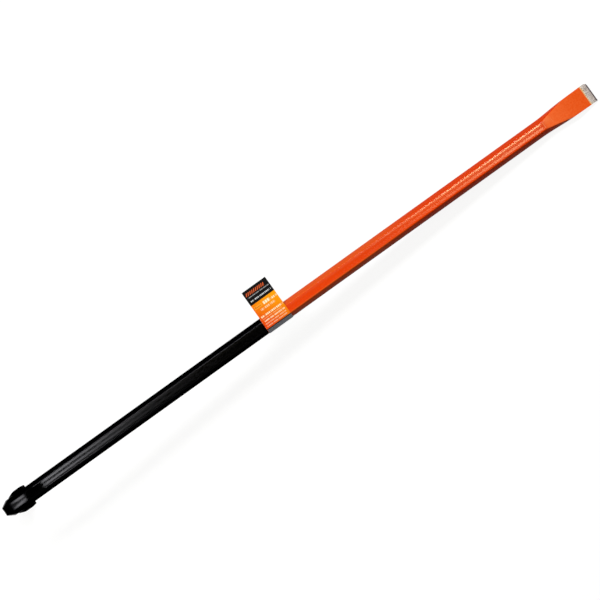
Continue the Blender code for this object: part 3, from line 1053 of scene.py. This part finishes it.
# Each row's place down and across the strip, its pitch, its seed and its strength.
for *row, strength in (
    (24.9, 27.4, 26.4, 35.0, 2.3, 0.15, 0.9),
    (30.0, 32.6, 7.6, 28.4, 2.4, 0.4, 0.6),
    (38.1, 40.4, 2.2, 34.8, 2.3, 0.1, 0.95),
    (42.0, 43.0, 2.4, 31.0, 1.6, 0.7, 0.35),
    (44.7, 46.5, 3.0, 33.5, 1.7, 0.2, 0.85),
    (48.5, 50.0, 1.8, 33.0, 1.9, 0.5, 0.5),
    (51.8, 53.2, 1.8, 32.0, 2.0, 0.9, 0.5),
):
    lines = lines.largest(dashes(*row) * strength)
panel = print_finish.blend(lines, panel, colour(255, 240, 200))

front = print_finish.blend(down.steps(HEADER - 0.1, HEADER + 0.1), header, panel)
flag_back = 1000 * (strip_length - LABEL_REACH + side / 2)
fibre = print_finish.noise(map_place, 60, detail=4.0)
plain = print_finish.blend(fibre.steps(0.3, 0.7) * 0.5, paper_white, colour(214, 216, 220))
back_lines = (down * (1 / 3.1)).fraction().band(0.10, 0.46, 0.06) * down.band(
    flag_back + 6, 1000 * strip_length - 5, 0.4
)
back_lines = back_lines * (over * (1 / 2.3)).fraction().band(0.1, 0.8, 0.1)
back_lines = back_lines * over.band(4, 31, 0.3)
plain = print_finish.blend(back_lines * 0.6, plain, colour(90, 92, 96))
# Painted shade: the paper band round the bar is given a bluish tint.
painted_cool_shade_band = down.band(FRONT + 0.2, flag_back, 0.3)
plain = print_finish.blend(painted_cool_shade_band, plain, colour(204, 208, 234))
# Painted shadow: a dark line along the fold.
plain = print_finish.blend(1 - down.steps(FRONT + 1.4, FRONT + 1.8), plain, colour(70, 50, 46))
printed = 1 - down.steps(FRONT - 0.6, FRONT - 0.3)
print_finish.set("Base Color", print_finish.blend(printed, plain, front))
print_finish.bump(fibre, 0.00002)
wear(label, print_finish)

# %% [markdown]
# ## Floor and light
# The photograph is a cut-out on white. Here the bar lies on a plain floor. To the camera and in
# mirrored light the floor is lifted to white, and it keeps a faint shadow. One soft key light
# stands on the label's side, so the spine and the facet beside it are bright and the other facet
# is dark. A pair of strips high over each end draws the twin streaks in the hollow and leaves
# the middle plain. The pair over the chisel is yellowish, or its streaks would look pink on the
# orange. A small light brightens the chisel's face, and two upright ones beyond the hook draw
# the short streaks on its bend.

# %% Floor
bpy.ops.object.select_all(action="DESELECT")
bpy.ops.mesh.primitive_plane_add(size=14, location=(0, 0, -0.0002))
floor = bpy.context.object
floor.name = "floor"
floor_finish = Finish("floor", Roughness=0.9, Specular_IOR_Level=0.0)
floor_finish.set("Base Color", colour(104, 104, 104))
path = floor_finish.node("ShaderNodeLightPath")
rays = path.socket.node.outputs
seen = Wire(floor_finish, rays["Is Camera Ray"]).largest(Wire(floor_finish, rays["Is Glossy Ray"]))
seen = seen.largest(Wire(floor_finish, rays["Is Transmission Ray"]))
FLOOR_LIFT = 0.90
floor_finish.set("Emission Color", floor_finish.blend(seen, (0, 0, 0, 1), (1, 1, 1, 1)))
floor_finish.set("Emission Strength", FLOOR_LIFT)
floor_finish.material.cycles.emission_sampling = "NONE"
wear(floor, floor_finish)


# %% Lights
def soft_light(
    name, place, size, watts, towards=(0, 0, 0.05), spread=180, tint=(1, 1, 1), lengthways=along
):
    """A rectangular light that faces a point, with its long side along the bar or upright."""
    data = bpy.data.lights.new(name, "AREA")
    data.color = tint
    data.shape = "RECTANGLE"
    data.size, data.size_y = size
    data.energy = watts
    data.spread = math.radians(spread)
    made = bpy.data.objects.new(name, data)
    bpy.context.scene.collection.objects.link(made)
    made.visible_camera = False
    place = Vector(place)
    facing = (place - Vector(towards)).normalized()
    length = (lengthways - lengthways.dot(facing) * facing).normalized()
    made.matrix_world = (
        Matrix.Translation(place) @ Matrix((length, facing.cross(length), facing)).transposed().to_4x4()
    )


soft_light("key", place=(0.0, 1.31, 2.18), size=(2.2, 0.45), watts=70)

WHITE_LAMP = (1, 1, 1)
WARM_LAMP = (1, 0.92, 0.5)
# Height above the bar, the stretch of the bar that it covers, how far aside and how wide, in
# metres, then its power, its spread in degrees and its tint.
for name, height, start, end, aside, width, watts, spread, tint in (
    ("hook_strip_left", 2.4, 0.03, 0.13, 0.175, 0.26, 0.031, 20, WHITE_LAMP),
    ("hook_strip_right", 2.4, 0.03, 0.13, -0.315, 0.26, 0.034, 20, WHITE_LAMP),
    ("chisel_strip_left", 4.0, 0.80, 1.06, 0.40, 0.30, 0.92, 180, WARM_LAMP),
    ("chisel_strip_right", 4.0, 0.80, 1.10, -0.91, 0.46, 15.0, 180, WARM_LAMP),
):
    target = TO_FLOOR @ Vector(((start + end) / 2, 0, 0))
    place = target + height * spine + aside * sideways
    soft_light(name, place, (end - start, width), watts, target, spread, tint)

CHISEL_FACE = (0.42, 0, 0.01)
soft_light("tip_light", place=(1.6, 0.5, 2.3), size=(0.5, 0.5), watts=5.2, towards=CHISEL_FACE)
hook_bend = TO_FLOOR @ Vector((0.021, 0, 0))
for name, aside in (("end_light_left", 0.0575), ("end_light_right", -0.0575)):
    place = hook_bend + Vector((-0.5, aside, 0.155))
    soft_light(
        name, place, (0.49, 0.05), 0.34, hook_bend, spread=100, lengthways=Vector((0, 0, 1))
    )

ROOM_LIGHT = 0.012
world = bpy.data.worlds.new("room")
bpy.context.scene.world = world
world.use_nodes = True
world.node_tree.nodes["Background"].inputs["Color"].default_value = (1, 1, 1, 1)
world.node_tree.nodes["Background"].inputs["Strength"].default_value = ROOM_LIGHT
world.cycles.sampling_method = "NONE"
